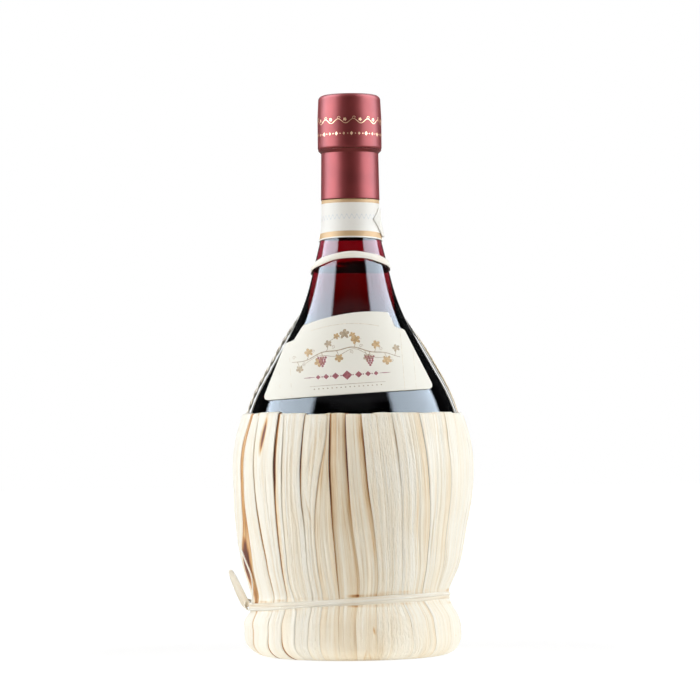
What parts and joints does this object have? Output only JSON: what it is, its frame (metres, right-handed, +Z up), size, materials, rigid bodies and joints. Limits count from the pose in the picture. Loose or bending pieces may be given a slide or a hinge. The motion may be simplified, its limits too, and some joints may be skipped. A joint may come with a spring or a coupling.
{
  "type": "straw-covered wine flask",
  "caption": "Round-bellied glass wine flask in a straw jacket, with long neck, cork, lift-off capsule, paper seal and label, and raffia ties.",
  "frame": {"origin": "on the surface that the flask stands on, under the flask's axis", "axes": "+Z up along the flask's axis to the capsule, the label faces -Y, +X to the right of the label"},
  "size_m": [0.1116, 0.1116, 0.2569],
  "materials": {
    "glass": "gloss",
    "wine": "gloss",
    "cork": "matte",
    "capsule": "satin",
    "seal_paper": "matte",
    "label_paper": "matte",
    "hoop": "matte",
    "straw_padding": "matte",
    "straw": "matte",
    "raffia": "matte"
  },
  "bodies": {
    "bottle": {"capsule_sleeve": "capsule", "foot_ring": "straw_padding", "front_label": "label_paper", "glass_flask": "glass", "neck_loop": "raffia", "neck_seal_strip": "seal_paper", "rim_hoop": "hoop", "shoulder_cord_left": "raffia", "shoulder_cord_right": "raffia", "straw_strip_01": "straw", "straw_strip_02": "straw", "straw_strip_03": "straw", "straw_strip_04": "straw", "straw_strip_05": "straw", "straw_strip_06": "straw", "straw_strip_07": "straw", "straw_strip_08": "straw", "straw_strip_09": "straw", "straw_strip_10": "straw", "straw_strip_11": "straw", "straw_strip_12": "straw", "straw_strip_13": "straw", "straw_strip_14": "straw", "straw_strip_15": "straw", "straw_strip_16": "straw", "straw_strip_17": "straw", "straw_strip_18": "straw", "straw_strip_19": "straw", "straw_strip_20": "straw", "straw_strip_21": "straw", "straw_strip_22": "straw", "straw_strip_23": "straw", "straw_strip_24": "straw", "straw_strip_25": "straw", "straw_strip_26": "straw", "straw_strip_27": "straw", "straw_strip_28": "straw", "straw_strip_29": "straw", "straw_strip_30": "straw", "straw_strip_31": "straw", "straw_strip_32": "straw", "straw_strip_33": "straw", "straw_strip_34": "straw", "straw_strip_35": "straw", "straw_strip_36": "straw", "straw_strip_37": "straw", "straw_strip_38": "straw", "straw_strip_39": "straw", "straw_strip_40": "straw", "tie_hitch": "raffia", "waist_tie": "raffia", "wine": "wine"},
    "stopper": {"cork": "cork"},
    "capsule": {"capsule_head": "capsule", "capsule_top_disc": "capsule"}
  },
  "joints": [
    {"name": "cork_pull", "type": "slide", "parent": "bottle", "child": "stopper", "axis": [0, 0, 1], "range_m": [0, 0.05]},
    {"name": "capsule_lift", "type": "slide", "parent": "stopper", "child": "capsule", "axis": [0, 0, 1], "range_m": [0, 0.03]}
  ]
}
